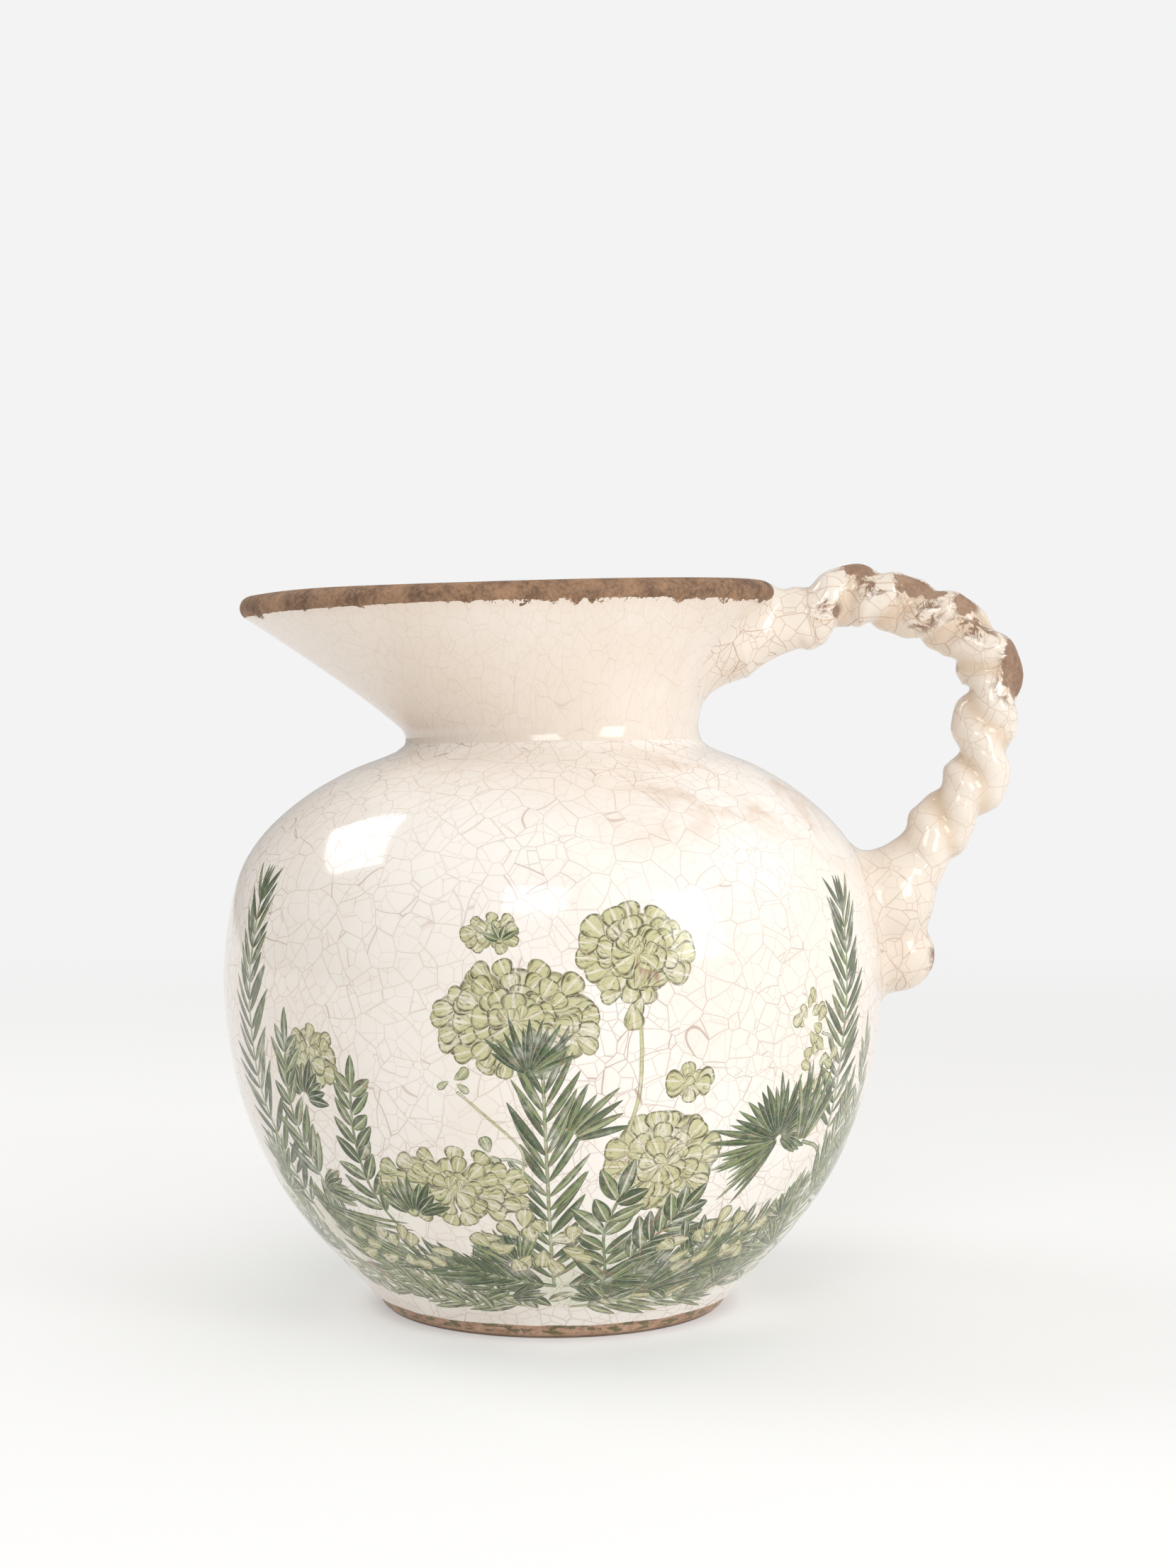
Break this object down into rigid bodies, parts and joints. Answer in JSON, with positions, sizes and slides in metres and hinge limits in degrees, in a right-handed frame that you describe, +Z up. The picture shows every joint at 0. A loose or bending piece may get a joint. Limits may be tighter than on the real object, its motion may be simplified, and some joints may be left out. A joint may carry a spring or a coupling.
{
  "type": "ceramic pitcher",
  "caption": "Round-bellied glazed pitcher with a flared collar, a pulled spout and a twisted rope handle, printed with a botanical border over crackled cream glaze.",
  "frame": {"origin": "middle of the foot ring, on the plane the pitcher stands on", "axes": "+Z up, +X from the globe's axis towards the handle, the spout points along -X, +Y completes the right-handed set"},
  "size_m": [0.2319, 0.1904, 0.2141],
  "materials": {
    "earthenware": "matte",
    "bare_foot": "matte",
    "bare_rim": "matte",
    "printed_glaze": "gloss",
    "cream_glaze": "gloss",
    "worn_glaze": "gloss"
  },
  "bodies": {
    "root": {"globe_body": "earthenware", "foot_ring": "bare_foot", "neck_collar": "bare_rim", "globe_glaze": "printed_glaze", "collar_glaze": "cream_glaze", "globe_lining": "cream_glaze", "collar_lining": "cream_glaze", "upper_handle_root": "cream_glaze", "handle_strand_1": "worn_glaze", "handle_strand_2": "worn_glaze", "lower_handle_root": "cream_glaze", "handle_button": "worn_glaze"}
  },
  "joints": []
}
